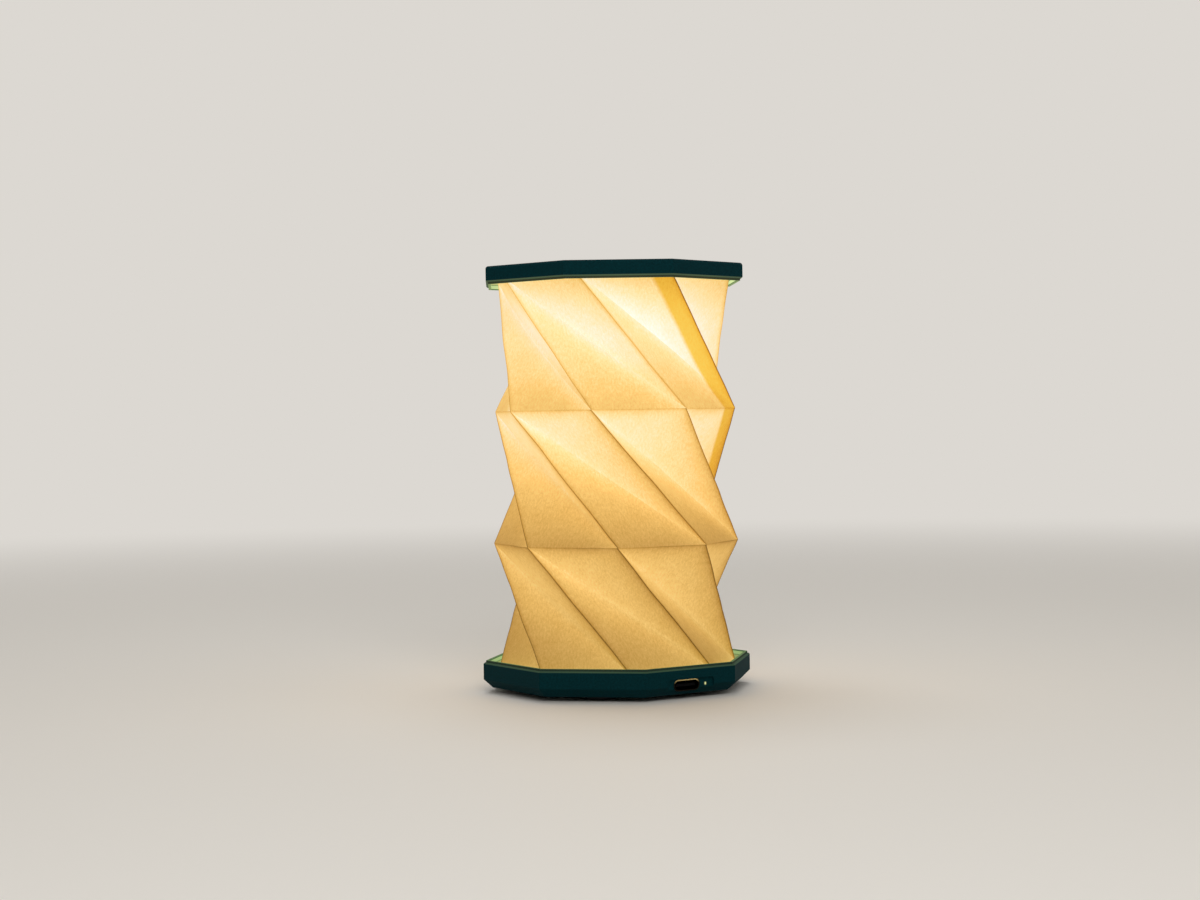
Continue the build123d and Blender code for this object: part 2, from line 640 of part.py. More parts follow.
dome_low_z = ceiling_z - DOME_DEPTH
hole = CAP_RELIEF / 2 + RELIEF_GAP
with BuildPart() as led_diffuser:
    with BuildSketch(Plane.XZ):
        with BuildLine():
            outer_low = (hole, dome_low_z)
            outer_side = (DOME / 2, ceiling_z - DOME_SIDE)
            inner_side = (DOME / 2 - DOME_WALL, ceiling_z - DOME_SIDE + DOME_WALL / 2)
            inner_low = (hole, dome_low_z + DOME_WALL)
            SagittaArc(outer_side, outer_low, -DOME_BOW)
            Line(outer_low, inner_low)
            SagittaArc(inner_low, inner_side, DOME_BOW)
            Polyline(inner_side, (inner_side[0], ceiling_z), (DOME / 2, ceiling_z), outer_side)
        make_face()
    revolve(axis=Axis.Z)
finish(led_diffuser.part, "led_diffuser")

# ---------------------------------------------------------------- lead between the housings
relief_top_z = floor_z + RELIEF_FLANGE_THICK
with BuildPart() as base_strain_relief:
    with BuildSketch(Plane.XY.offset(board_top_z)):
        with Locations((0, relief_y)):
            Circle(RELIEF / 2)
    extrude(amount=floor_z - board_top_z)
    with BuildSketch(Plane.XY.offset(floor_z)):
        with Locations((0, relief_y)):
            Circle(RELIEF_FLANGE / 2)
    extrude(amount=RELIEF_FLANGE_THICK)
finish(base_strain_relief.part, "base_strain_relief")

with BuildPart() as cap_strain_relief:
    with BuildSketch(Plane.XY.offset(dome_low_z)):
        Circle(CAP_RELIEF / 2)
    extrude(amount=led_board_z - dome_low_z)
finish(cap_strain_relief.part, "cap_strain_relief")

# The lead hangs in loose turns, so that it lies flat and untwisted when the cap screws down
loops_low_z = relief_top_z + 2 * LEAD_END
loops_high_z = dome_low_z - 2 * LEAD_END
loop_steps = LEAD_LOOP_COUNT * LEAD_POINT_COUNT
lead_points = [(0, relief_y, relief_top_z), (0, relief_y, relief_top_z + LEAD_END)]
for step in range(loop_steps + 1):
    angle = radians(-90 + 360 * step / LEAD_POINT_COUNT)
    height = loops_low_z + (loops_high_z - loops_low_z) * step / loop_steps
    lead_points.append((LEAD_LOOP_RADIUS * cos(angle), LEAD_LOOP_RADIUS * sin(angle), height))
lead_points += [(0, 0, dome_low_z - LEAD_END), (0, 0, dome_low_z)]


def corner_radius(before, corner, after):
    """As large an arc as the two runs that meet at corner leave room for."""
    run_in = Vector(corner) - Vector(before)
    run_out = Vector(after) - Vector(corner)
    half_turn = radians(run_in.get_angle(run_out)) / 2
    return 0.45 * min(run_in.length, run_out.length) * cos(half_turn) / sin(half_turn)


lead_radii = [corner_radius(*lead_points[i - 1 : i + 2]) for i in range(1, len(lead_points) - 1)]
lead_path = FilletPolyline(*lead_points, radius=lead_radii)
lamp_lead = tube(lead_path, LEAD)
finish(lamp_lead, "lamp_lead")

print("lead: length", round(lead_path.length, 1), "least radius", round(min(lead_radii), 2))
print("lead: volume over section times length", round(lamp_lead.volume / (pi * LEAD**2 / 4 * lead_path.length), 4))
print("cap: travel", round(cap_travel, 3), "mm, twist", round(cap_twist, 3), "degrees")
print("cap: radians per metre", round(radians(cap_twist) / cap_travel * 1000, 4))
print("cap turn", round(cap_turn % side_angle, 3), "levels", [round(z, 2) for z in ring_z])
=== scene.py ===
from math import cos, pi, radians, sin

import bmesh
import bpy
import numpy as np
from mathutils import Matrix, Vector


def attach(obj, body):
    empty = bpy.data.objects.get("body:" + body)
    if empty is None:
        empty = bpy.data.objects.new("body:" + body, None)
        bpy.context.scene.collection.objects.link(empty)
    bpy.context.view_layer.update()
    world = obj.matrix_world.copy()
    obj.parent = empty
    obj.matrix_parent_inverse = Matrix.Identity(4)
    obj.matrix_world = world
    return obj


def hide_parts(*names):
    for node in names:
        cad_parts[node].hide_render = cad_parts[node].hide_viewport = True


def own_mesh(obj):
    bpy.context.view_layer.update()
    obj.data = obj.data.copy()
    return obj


# A small folding table lamp, switched on: a pleated paper sleeve between two octagonal teal housings.
# Metres, +Z up. The origin is on the table, on the lamp's axis. The charging port faces -Y.

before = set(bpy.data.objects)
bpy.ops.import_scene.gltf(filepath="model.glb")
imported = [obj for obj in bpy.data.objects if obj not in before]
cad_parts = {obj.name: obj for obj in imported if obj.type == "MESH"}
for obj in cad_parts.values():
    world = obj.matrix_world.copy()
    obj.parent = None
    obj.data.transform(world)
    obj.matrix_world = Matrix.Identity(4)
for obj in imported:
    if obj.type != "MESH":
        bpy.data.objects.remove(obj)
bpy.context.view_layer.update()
scene = bpy.context.scene
scene.view_settings.view_transform = "Standard"

# ---------------------------------------------------------------- camera
# It stands 0.67 m from the lamp, a little under the cap's level, and looks at the corner that is
# left of the charging port. It leans by one degree.
camera_turn = radians(-33.3)
camera_away = 0.6728
camera_height = 0.0813
camera_aside = 0.00437
camera_tilt = -0.0151
camera_lean = -0.0169
camera_lens = 67.59  # mm, over a sensor 36 mm wide

right = Vector((cos(camera_turn), sin(camera_turn), 0))
ahead = Vector((-sin(camera_turn), cos(camera_turn), 0))
view = ahead * cos(camera_tilt) + Vector((0, 0, sin(camera_tilt)))
up = right.cross(view)
leaning_right = right * cos(camera_lean) + up * sin(camera_lean)
leaning_up = up * cos(camera_lean) - right * sin(camera_lean)
stand = Vector((0, 0, camera_height)) - right * camera_aside - ahead * camera_away
camera = bpy.data.objects.new("camera", bpy.data.cameras.new("camera"))
camera.data.sensor_width = 36
camera.data.lens = camera_lens
camera.data.clip_start = 0.05
axes = Matrix((leaning_right, leaning_up, -view)).transposed()
camera.matrix_world = Matrix.Translation(stand) @ axes.to_4x4()
scene.collection.objects.link(camera)
scene.camera = camera

# ---------------------------------------------------------------- paper shade
# One sheet of cream paper, folded into three stories of eight pleats and glued to a sleeve along one
# mountain crease. Each story turns the same way, so its long creases run down to the right.
PLEATS = 8
FINENESS = 36  # steps along each edge of a pleat
# Here and below, three values stand for the three stories, from the base up
STORY_TURNS = (radians(51.25), radians(55.9), radians(51.15))
STORY_HEIGHTS = (0.03665, 0.03925, 0.0391)
RING_RADII = (0.0354, 0.03644, 0.03644, 0.036)
RING_TURN = radians(18)  # of the lowest ring
SHADE_LOW = 0.0072
PAPER = 0.00035
FLAP = 0.004
SEAM = 0.0062  # the width of the glued overlap
VALLEY_ROUND = (0.05, 0.06, 0.12)  # share of a pleat over which each story's valleys are rounded
VALLEY_FILL = 0.0186  # how far out the rounding would bring a valley that had a share of one
WOBBLE = 0.0008  # how far the hand-made folds stray, from one side to the other
WOBBLES = 70.0  # of them to a metre
PLEAT_WELD = 0.00001  # points of two pleats that are nearer than this become one
STORY_WELD = 0.00006  # and those of two stories
SHARP = radians(40)  # a fold from here on is drawn as an edge
CREASE_LEAST = (0.5, 0.52, 0.74)  # how much of the glow a mountain crease lets through
SEAM_CREASE_LEAST = 0.25
SHADED_CREASE = 0.7  # a crease looks wider on the side that hangs, by one over this
# How brightly each story glows: at a pleat's low left corner, and what is added across it, up it, and by
# the square of the way up. One row is for the facets that stand on a ring, and one for those that hang
# from the next and look up at the light.
STANDING_GLOW = ((0.21, 0.08, 0.28, 0.09), (0.29, -0.01, 0.48, 0.0), (0.475, -0.08, 0.69, -0.65))
HANGING_GLOW = ((0.51, -0.1, 0.1, 0.035), (0.54, 0.01, 0.265, 0.02), (0.695, -0.22, 1.2, -1.19))
# What each fold adds to the glow of the facets beside it, or takes from it, and the distance over which
# that fades to a third
VALLEY_REACH = 0.004
STANDING_VALLEY_GLOW = (0.08, 0.12, 0.27), VALLEY_REACH
HANGING_VALLEY_GLOW = (0.035, 0.055, -0.02), VALLEY_REACH
VALLEY_TOP_GLOW = (0.035, 0.065, 0.06), 0.004
VALLEY_FOOT_GLOW = (0.135, 0.155, 0.29), 0.006
VALLEY_FOOT_STANDING = 0.15  # the standing facet's share of that
MOUNTAIN_TOP_GLOW = (0.095, 0.08, 0.055), 0.005
STANDING_MOUNTAIN_SHADE = (0.17, 0.07, -0.13), 0.002
HANGING_MOUNTAIN_SHADE = (0.18, 0.29, 0.0), 0.0042
LOW_RING_GLOW = (0.14, -0.01, 0.045), 0.003
HIGH_RING_SHADE = (0.165, 0.225, 0.0), 0.0018
WIDE_HIGH_RING_SHADE = (0.19, 0.075, 0.0), 0.008
# Pleats of each story whose valley is folded sharper or softer than the rest: the pleat's number, and
# what its hanging and its standing facet glow more along the valley
UNEVEN_VALLEYS = (
    ((4, -0.04, 0.0),),
    ((5, -0.08, -0.02),),
    ((0, 0.05, -0.07), (6, -0.08, -0.06), (7, -0.03, -0.04)),
)


def add(tree, kind, inputs=None, **settings):
    """Adds a node, with its settings and what goes into it, and gives its outputs."""
    made = tree.nodes.new(kind)
    for name, value in settings.items():
        setattr(made, name, value)
    for name, value in (inputs or {}).items():
        if isinstance(value, bpy.types.NodeSocket):
            tree.links.new(value, made.inputs[name])
        else:
            made.inputs[name].default_value = value
    return made.outputs


def linear(colour):
    """A colour written as sRGB hex, turned to linear light."""
    parts = [int(colour[i : i + 2], 16) / 255 for i in (1, 3, 5)]
    return [p / 12.92 if p <= 0.04045 else ((p + 0.055) / 1.055) ** 2.4 for p in parts] + [1.0]


def new_finish(name):
    """A material, its node tree and the inputs of its shader."""
    material = bpy.data.materials.new(name)
    material.use_nodes = True
    return material, material.node_tree, material.node_tree.nodes["Principled BSDF"].inputs


# The pleat is a square patch. Its corners go to two corners of the ring below and two of the ring
# above, and it bends inwards along its diagonal, the valley, which the stiff paper rounds off.
pleat = bpy.data.node_groups.new("pleated_story", "GeometryNodeTree")
pleat.interface.new_socket("Geometry", in_out="OUTPUT", socket_type="NodeSocketGeometry")
for size in (
    "Low radius",
    "High radius",
    "Low height",
    "High height",
    "High turn",
    "Story turn",
    "Valley round",
    "Valley fill",
    "Wobble",
):
    pleat.interface.new_socket(size, in_out="INPUT", socket_type="NodeSocketFloat")
pleat.interface.new_socket("Paper", in_out="INPUT", socket_type="NodeSocketMaterial")
given = add(pleat, "NodeGroupInput")
step = 2 * pi / PLEATS

patch = add(
    pleat,
    "GeometryNodeMeshGrid",
    {"Size X": 1.0, "Size Y": 1.0, "Vertices X": FINENESS + 1, "Vertices Y": FINENESS + 1},
)["Mesh"]
spot = add(pleat, "ShaderNodeSeparateXYZ", {0: add(pleat, "GeometryNodeInputPosition")[0]})
across = add(pleat, "ShaderNodeMath", {0: spot["X"], 1: 0.5}, operation="ADD")[0]
along = add(pleat, "ShaderNodeMath", {0: spot["Y"], 1: 0.5}, operation="ADD")[0]
both = add(pleat, "ShaderNodeMath", {0: across, 1: along}, operation="ADD")[0]
rest_across = add(pleat, "ShaderNodeMath", {0: 1.0, 1: across}, operation="SUBTRACT")[0]
rest_along = add(pleat, "ShaderNodeMath", {0: 1.0, 1: along}, operation="SUBTRACT")[0]
below = add(pleat, "ShaderNodeMath", {0: 1.0, 1: both}, operation="SUBTRACT", use_clamp=True)[0]
above = add(pleat, "ShaderNodeMath", {0: both, 1: 1.0}, operation="SUBTRACT", use_clamp=True)[0]
to_low_next = add(pleat, "ShaderNodeMath", {0: across, 1: rest_along}, operation="MINIMUM")[0]
to_high_first = add(pleat, "ShaderNodeMath", {0: along, 1: rest_across}, operation="MINIMUM")[0]

# The four corners, each with its share of every point of the patch
low_turn = add(pleat, "ShaderNodeMath", {0: given["High turn"], 1: given["Story turn"]}, operation="ADD")[0]
low_corner = add(pleat, "ShaderNodeCombineXYZ", {"X": given["Low radius"], "Z": given["Low height"]})[0]
high_corner = add(pleat, "ShaderNodeCombineXYZ", {"X": given["High radius"], "Z": given["High height"]})[0]
placed = (0.0, 0.0, 0.0)
for corner, turn, extra, share in (
    (low_corner, low_turn, 0.0, below),
    (low_corner, low_turn, step, to_low_next),
    (high_corner, given["High turn"], 0.0, to_high_first),
    (high_corner, given["High turn"], step, above),
):
    angle = add(pleat, "ShaderNodeMath", {0: turn, 1: extra}, operation="ADD")[0]
    point = add(
        pleat, "ShaderNodeVectorRotate", {"Vector": corner, "Angle": angle}, rotation_type="Z_AXIS"
    )[0]
    point = add(pleat, "ShaderNodeVectorMath", {0: point, "Scale": share}, operation="SCALE")[0]
    placed = add(pleat, "ShaderNodeVectorMath", {0: placed, 1: point}, operation="ADD")[0]

# The valley is rounded off as a hyperbola rounds its two lines, and less towards its ends
off_fold = add(pleat, "ShaderNodeMath", {0: below, 1: above}, operation="ADD")[0]
square = add(pleat, "ShaderNodeMath", {0: off_fold, 1: 2.0}, operation="POWER")[0]
round_square = add(pleat, "ShaderNodeMath", {0: given["Valley round"], 1: 2.0}, operation="POWER")[0]
sum_of_squares = add(pleat, "ShaderNodeMath", {0: square, 1: round_square}, operation="ADD")[0]
rounded = add(pleat, "ShaderNodeMath", {0: sum_of_squares}, operation="SQRT")[0]
rounded = add(pleat, "ShaderNodeMath", {0: rounded, 1: off_fold}, operation="SUBTRACT")[0]
from_ends = add(pleat, "ShaderNodeMath", {0: to_low_next, 1: to_high_first}, operation="MULTIPLY")[0]
from_ends = add(pleat, "ShaderNodeMath", {0: from_ends, 1: 4.0}, operation="MULTIPLY")[0]
rounded = add(pleat, "ShaderNodeMath", {0: rounded, 1: from_ends}, operation="MULTIPLY")[0]
rounded = add(pleat, "ShaderNodeMath", {0: rounded, 1: given["Valley fill"]}, operation="MULTIPLY")[0]
half_way = add(pleat, "ShaderNodeMath", {0: given["Story turn"], 1: step}, operation="ADD")[0]
half_way = add(
    pleat, "ShaderNodeMath", {0: half_way, 1: 0.5, 2: given["High turn"]}, operation="MULTIPLY_ADD"
)[0]
outwards = add(
    pleat, "ShaderNodeVectorRotate", {"Vector": (1.0, 0.0, 0.0), "Angle": half_way}, rotation_type="Z_AXIS"
)[0]
outwards = add(pleat, "ShaderNodeVectorMath", {0: outwards, "Scale": rounded}, operation="SCALE")[0]
placed = add(pleat, "ShaderNodeVectorMath", {0: placed, 1: outwards}, operation="ADD")[0]

# Each corner of the mesh keeps its place on its pleat, for the creases and the glow
on_pleat = add(pleat, "ShaderNodeCombineXYZ", {"X": across, "Y": along})[0]
patch = add(
    pleat,
    "GeometryNodeStoreNamedAttribute",
    {"Geometry": patch, "Name": "on_pleat", "Value": on_pleat},
    data_type="FLOAT_VECTOR",
    domain="CORNER",
)[0]
patch = add(pleat, "GeometryNodeSetPosition", {"Geometry": patch, "Position": placed})[0]

# Eight pleats round the axis make the story
spots = add(pleat, "GeometryNodePoints", {"Count": PLEATS})[0]
number = add(pleat, "GeometryNodeInputIndex")[0]
spots = add(
    pleat,
    "GeometryNodeStoreNamedAttribute",
    {"Geometry": spots, "Name": "number", "Value": number},
    data_type="FLOAT",
    domain="POINT",
)[0]
turned = add(pleat, "ShaderNodeMath", {0: number, 1: step}, operation="MULTIPLY")[0]
turned = add(pleat, "ShaderNodeCombineXYZ", {"Z": turned})[0]
story = add(
    pleat, "GeometryNodeInstanceOnPoints", {"Points": spots, "Instance": patch, "Rotation": turned}
)[0]
story = add(pleat, "GeometryNodeRealizeInstances", {"Geometry": story})[0]
number = add(pleat, "GeometryNodeInputNamedAttribute", {"Name": "number"}, data_type="FLOAT")[0]
number = add(pleat, "ShaderNodeCombineXYZ", {"Z": number})[0]
on_pleat = add(pleat, "GeometryNodeInputNamedAttribute", {"Name": "on_pleat"}, data_type="FLOAT_VECTOR")[0]
on_pleat = add(pleat, "ShaderNodeVectorMath", {0: on_pleat, 1: number}, operation="ADD")[0]
story = add(
    pleat,
    "GeometryNodeStoreNamedAttribute",
    {"Geometry": story, "Name": "on_pleat", "Value": on_pleat},
    data_type="FLOAT_VECTOR",
    domain="CORNER",
)[0]
story = add(pleat, "GeometryNodeMergeByDistance", {"Geometry": story, "Distance": PLEAT_WELD})[0]
story = add(pleat, "GeometryNodeTriangulate", {"Mesh": story}, quad_method="FIXED_ALTERNATE")[0]

# The folds are made by hand, so they stray a little, mostly sideways
uneven = add(pleat, "ShaderNodeTexNoise", {"Scale": WOBBLES, "Detail": 1.0})["Color"]
uneven = add(pleat, "ShaderNodeVectorMath", {0: uneven, 1: (0.5, 0.5, 0.5)}, operation="SUBTRACT")[0]
uneven = add(pleat, "ShaderNodeVectorMath", {0: uneven, "Scale": given["Wobble"]}, operation="SCALE")[0]
uneven = add(pleat, "ShaderNodeVectorMath", {0: uneven, 1: (1.0, 1.0, 0.3)}, operation="MULTIPLY")[0]
story = add(pleat, "GeometryNodeSetPosition", {"Geometry": story, "Offset": uneven})[0]
story = add(pleat, "GeometryNodeSetMaterial", {"Geometry": story, "Material": given["Paper"]})[0]
add(pleat, "NodeGroupOutput", {"Geometry": story})
socket = {item.name: item.identifier for item in pleat.interface.items_tree if item.in_out == "INPUT"}

# The paper's finish: rag paper with fine fibres, lit from inside. It glows cream under the cap and amber
# further down, and deeper yellow where the glued seam doubles it. The folds are fine darker lines of painted
# shade.
paper, tree, shader = new_finish("rag_paper_lit_from_inside")
glow = add(tree, "ShaderNodeAttribute", attribute_name="glow")["Fac"]
sheet = add(tree, "ShaderNodeAttribute", attribute_name="sheet")["Vector"]
on_sheet = add(tree, "ShaderNodeSeparateXYZ", {0: sheet})
folds = add(tree, "ShaderNodeAttribute", attribute_name="folds")["Vector"]
from_fold = add(tree, "ShaderNodeSeparateXYZ", {0: folds})

# Fibres about 0.5 mm apart, longer up the sheet than across it, with finer ones over them and faint
# clouds, each by how many lie across a metre of the sheet and up it, and how dark the darkest is. All
# are coarser than the real ones so that they show, which they do best where the glow is weak.
texture = 1.0
for scale, least in (
    ((1900.0, 800.0, 0.0), 0.925),
    ((2600.0, 2600.0, 0.0), 0.95),
    ((260.0, 170.0, 0.0), 0.97),
):
    at = add(tree, "ShaderNodeMapping", {"Vector": sheet, "Scale": scale})[0]
    fibre = add(tree, "ShaderNodeTexNoise", {"Vector": at, "Scale": 1.0, "Detail": 2.0})[0]
    fibre = add(
        tree,
        "ShaderNodeMapRange",
        {"Value": fibre, "From Min": 0.3, "From Max": 0.7, "To Min": least, "To Max": 2 - least},
    )[0]
    texture = add(tree, "ShaderNodeMath", {0: texture, 1: fibre}, operation="MULTIPLY")[0]
contrast = add(
    tree,
    "ShaderNodeMapRange",
    {"Value": glow, "From Min": 0.55, "From Max": 0.85, "To Min": 1.15, "To Max": 0.5},
)[0]
texture = add(tree, "ShaderNodeMath", {0: texture, 1: contrast}, operation="POWER")[0]

# Painted shade along the folds: a mountain crease is a sharp dark line with a soft edge, and a ring crease a
# softer one
line = texture
for distance, width, least in (
    (from_fold["X"], 0.00042, from_fold["Y"]),
    (from_fold["X"], 0.0014, 0.84),
    (from_fold["Z"], 0.0006, 0.8),
):
    crease = add(
        tree,
        "ShaderNodeMapRange",
        {"Value": distance, "From Min": 0.0, "From Max": width, "To Min": least, "To Max": 1.0},
        interpolation_type="SMOOTHSTEP",
    )[0]
    line = add(tree, "ShaderNodeMath", {0: line, 1: crease}, operation="MULTIPLY")[0]
light = add(tree, "ShaderNodeMath", {0: glow, 1: line}, operation="MULTIPLY")[0]

# The colour that the paper glows in, from weak to strong
emitted = add(tree, "ShaderNodeValToRGB", {0: light})[0]
stops = emitted.node.color_ramp.elements
stops[0].position = 0.12
stops[0].color = linear("#000000")
stops[1].color = linear("#E6F0F7")
for share, colour in (
    (0.25, "#8D601D"),
    (0.4, "#B98D44"),
    (0.56, "#D9AF64"),
    (0.72, "#E5CA93"),
    (0.8, "#E6D5B3"),
    (0.94, "#E6E8EA"),
):
    stops.new(share).color = linear(colour)

# The seam lets less blue through. The foot of the sheet catches a little cooler light from the room.
SEAM_EDGE = 0.0012
COOL_FOOT = 0.055  # how far up the sheet that goes
doubled = add(
    tree,
    "ShaderNodeMapRange",
    {"Value": on_sheet["Z"], "From Min": SEAM, "From Max": SEAM - SEAM_EDGE, "To Min": 0.0, "To Max": 1.0},
)[0]
through = add(
    tree, "ShaderNodeMix", {0: doubled, 6: linear("#FFFFFF"), 7: linear("#E7CB5F")}, data_type="RGBA"
)[2]
low = add(tree, "ShaderNodeMapRange", {"Value": on_sheet["Y"], "From Min": 0.0, "From Max": COOL_FOOT})[0]
cooler = add(
    tree, "ShaderNodeMix", {0: low, 6: (0.9, 0.99, 1.12, 1), 7: (1, 1, 1, 1)}, data_type="RGBA"
)[2]
for factor in (through, cooler):
    emitted = add(
        tree, "ShaderNodeMix", {0: 1.0, 6: emitted, 7: factor}, data_type="RGBA", blend_type="MULTIPLY"
    )[2]
tree.links.new(emitted, shader["Emission Color"])
shader["Emission Strength"].default_value = 1.0

# In the room's light the paper is a dull cream, mottled by its fibres, with painted shade that browns it
# along the creases, most of all in blue
pale = add(
    tree, "ShaderNodeMix", {0: doubled, 6: linear("#A88C55"), 7: linear("#A88A3E")}, data_type="RGBA"
)[2]
fibre_and_crease_shade_tint = [
    add(tree, "ShaderNodeMath", {0: line, 1: power}, operation="POWER")[0] for power in (0.4, 0.7, 1.5)
]
fibre_and_crease_shade_tint = add(tree, "ShaderNodeCombineXYZ", dict(enumerate(fibre_and_crease_shade_tint)))[0]
based = add(
    tree, "ShaderNodeMix", {0: 1.0, 6: pale, 7: fibre_and_crease_shade_tint}, data_type="RGBA", blend_type="MULTIPLY"
)[2]
tree.links.new(based, shader["Base Color"])
shader["Roughness"].default_value = 0.85
shader["Specular IOR Level"].default_value = 0.15
tilt = add(tree, "ShaderNodeBump", {"Height": texture, "Distance": 0.00005, "Strength": 0.5})[0]
tree.links.new(tilt, shader["Normal"])


def beside(fold, tier, distance):
    """What a fold adds to the glow of a story, at each distance from it."""
    amounts, reach = fold
    return amounts[tier] * np.exp(-distance / reach)


# The three stories, from the base up, are made one after the other and joined into one sleeve
FAR = 1.0  # from a fold that the facet has no share in
sleeve = bmesh.new()
marks = {name: sleeve.loops.layers.float_vector.new(name) for name in ("sheet", "folds")}
glow_mark = sleeve.loops.layers.float.new("glow")
height = SHADE_LOW
turn = RING_TURN
sheet_origin = np.zeros(2)
for tier, story_height in enumerate(STORY_HEIGHTS):
    turn -= STORY_TURNS[tier]
    low_radius, high_radius = RING_RADII[tier : tier + 2]
    carrier = bpy.data.objects.new("story", bpy.data.meshes.new("story"))
    scene.collection.objects.link(carrier)
    folding = carrier.modifiers.new("folding", "NODES")
    folding.node_group = pleat
    for name, value in (
        ("Low radius", low_radius),
        ("High radius", high_radius),
        ("Low height", height),
        ("High height", height + story_height),
        ("High turn", turn),
        ("Story turn", STORY_TURNS[tier]),
        ("Valley round", VALLEY_ROUND[tier]),
        ("Valley fill", VALLEY_FILL),
        ("Wobble", WOBBLE),
        ("Paper", paper),
    ):
        folding[socket[name]] = value
    graph = bpy.context.evaluated_depsgraph_get()
    made = bpy.data.meshes.new_from_object(carrier.evaluated_get(graph))
    bpy.data.objects.remove(carrier)

    # The pleat's edges: a piece of the ring, a mountain and a valley. From them come the widths of the
    # two facets, and how the pleat lies on the flat sheet.
    ring = 2 * high_radius * sin(step / 2)
    mountain = np.hypot(story_height, 2 * high_radius * sin(STORY_TURNS[tier] / 2))
    valley = np.hypot(story_height, 2 * high_radius * sin((STORY_TURNS[tier] + step) / 2))
    lean = (mountain**2 + ring**2 - valley**2) / (2 * ring)
    rise = np.sqrt(mountain**2 - lean**2)
    facet = ring * rise
    count = len(made.loops)
    place = np.zeros(count * 3)
    made.attributes["on_pleat"].data.foreach_get("vector", place)
    across_at, along_at, number_at = place.reshape(-1, 3).T
    hangs = np.repeat((across_at + along_at).reshape(-1, 3).mean(1) > 1, 3)
    from_mountain = np.where(hangs, 1 - across_at, across_at) * facet / mountain
    from_valley = np.abs(across_at + along_at - 1) * facet / valley
    from_low_ring = along_at * facet / ring
    from_high_ring = np.where(hangs, (1 - along_at) * facet / ring, FAR)
    from_seam = np.where(number_at < 0.5, (1 - across_at) * facet / mountain, FAR)
    up_sheet = rise * along_at
    down_sheet = rise * (1 - along_at)
    from_valley_foot = np.hypot(ring * (across_at - 1) + lean * along_at, up_sheet)
    from_valley_top = np.hypot(ring * across_at + lean * (along_at - 1), down_sheet)
    from_mountain_top = np.hypot(ring * (across_at - 1) + lean * (along_at - 1), down_sheet)
    to_crease = from_mountain * np.where(hangs, SHADED_CREASE, 1.0)
    crease_least = np.where(from_seam < SEAM, SEAM_CREASE_LEAST, CREASE_LEAST[tier])
    sheet_x = ring * (number_at + across_at) + lean * along_at + sheet_origin[0]
    sheet_y = up_sheet + sheet_origin[1]
    sheet_origin += (lean, rise)

    # The light in the cap reaches each story's upper part best. The valleys stand in its way and catch
    # it, so the paper behind them, at the mountains and under the rings, lies in half shade. Where folds
    # meet, the paper bends and shows more light.
    shares = np.stack((np.ones(count), across_at, along_at, along_at**2))
    valley_foot_glow = beside(VALLEY_FOOT_GLOW, tier, from_valley_foot)
    standing = STANDING_GLOW[tier] @ shares
    standing += beside(STANDING_VALLEY_GLOW, tier, from_valley)
    standing -= beside(STANDING_MOUNTAIN_SHADE, tier, from_mountain) * along_at
    standing += beside(LOW_RING_GLOW, tier, from_low_ring)
    standing += VALLEY_FOOT_STANDING * valley_foot_glow
    hanging = HANGING_GLOW[tier] @ shares
    hanging -= np.maximum(
        beside(HANGING_MOUNTAIN_SHADE, tier, from_mountain), beside(HIGH_RING_SHADE, tier, from_high_ring)
    )
    hanging -= beside(WIDE_HIGH_RING_SHADE, tier, from_high_ring)
    hanging += valley_foot_glow
    hanging += beside(HANGING_VALLEY_GLOW, tier, from_valley)
    hanging += beside(MOUNTAIN_TOP_GLOW, tier, from_mountain_top)
    for uneven_pleat, hanging_more, standing_more in UNEVEN_VALLEYS[tier]:
        at_valley = np.where(np.round(number_at) == uneven_pleat, np.exp(-from_valley / VALLEY_REACH), 0.0)
        hanging += hanging_more * at_valley
        standing += standing_more * at_valley
    reached = np.where(hangs, hanging, standing) + beside(VALLEY_TOP_GLOW, tier, from_valley_top)

    points = np.zeros(len(made.vertices) * 3)
    made.vertices.foreach_get("co", points)
    base = len(sleeve.verts)
    for point in points.reshape(-1, 3):
        sleeve.verts.new(point)
    sleeve.verts.ensure_lookup_table()
    for polygon in made.polygons:
        face = sleeve.faces.new([sleeve.verts[base + i] for i in polygon.vertices])
        face.smooth = True
        for corner, i in zip(face.loops, polygon.loop_indices):
            corner[marks["sheet"]] = (sheet_x[i], sheet_y[i], from_seam[i])
            corner[marks["folds"]] = (to_crease[i], crease_least[i], from_high_ring[i])
            corner[glow_mark] = reached[i]
    height += story_height

# The sleeve's two ends are folded inwards, where they are glued on
NEAR_RIM = 0.002
bmesh.ops.remove_doubles(sleeve, verts=sleeve.verts, dist=STORY_WELD)
for end_height in (SHADE_LOW, height):
    rim = [e for e in sleeve.edges if e.is_boundary and abs(e.verts[0].co.z - end_height) < NEAR_RIM]
    folded = bmesh.ops.extrude_edge_only(sleeve, edges=rim)["geom"]
    for vertex in [v for v in folded if isinstance(v, bmesh.types.BMVert)]:
        inwards = 1 - FLAP / vertex.co.xy.length
        vertex.co.x *= inwards
        vertex.co.y *= inwards
bmesh.ops.recalc_face_normals(sleeve, faces=sleeve.faces)


def face_order(face):
    """A number that no other face has, from the numbers of its first three points."""
    first, second, third = sorted(vertex.index for vertex in face.verts)[:3]
    return (first * len(sleeve.verts) + second) * len(sleeve.verts) + third


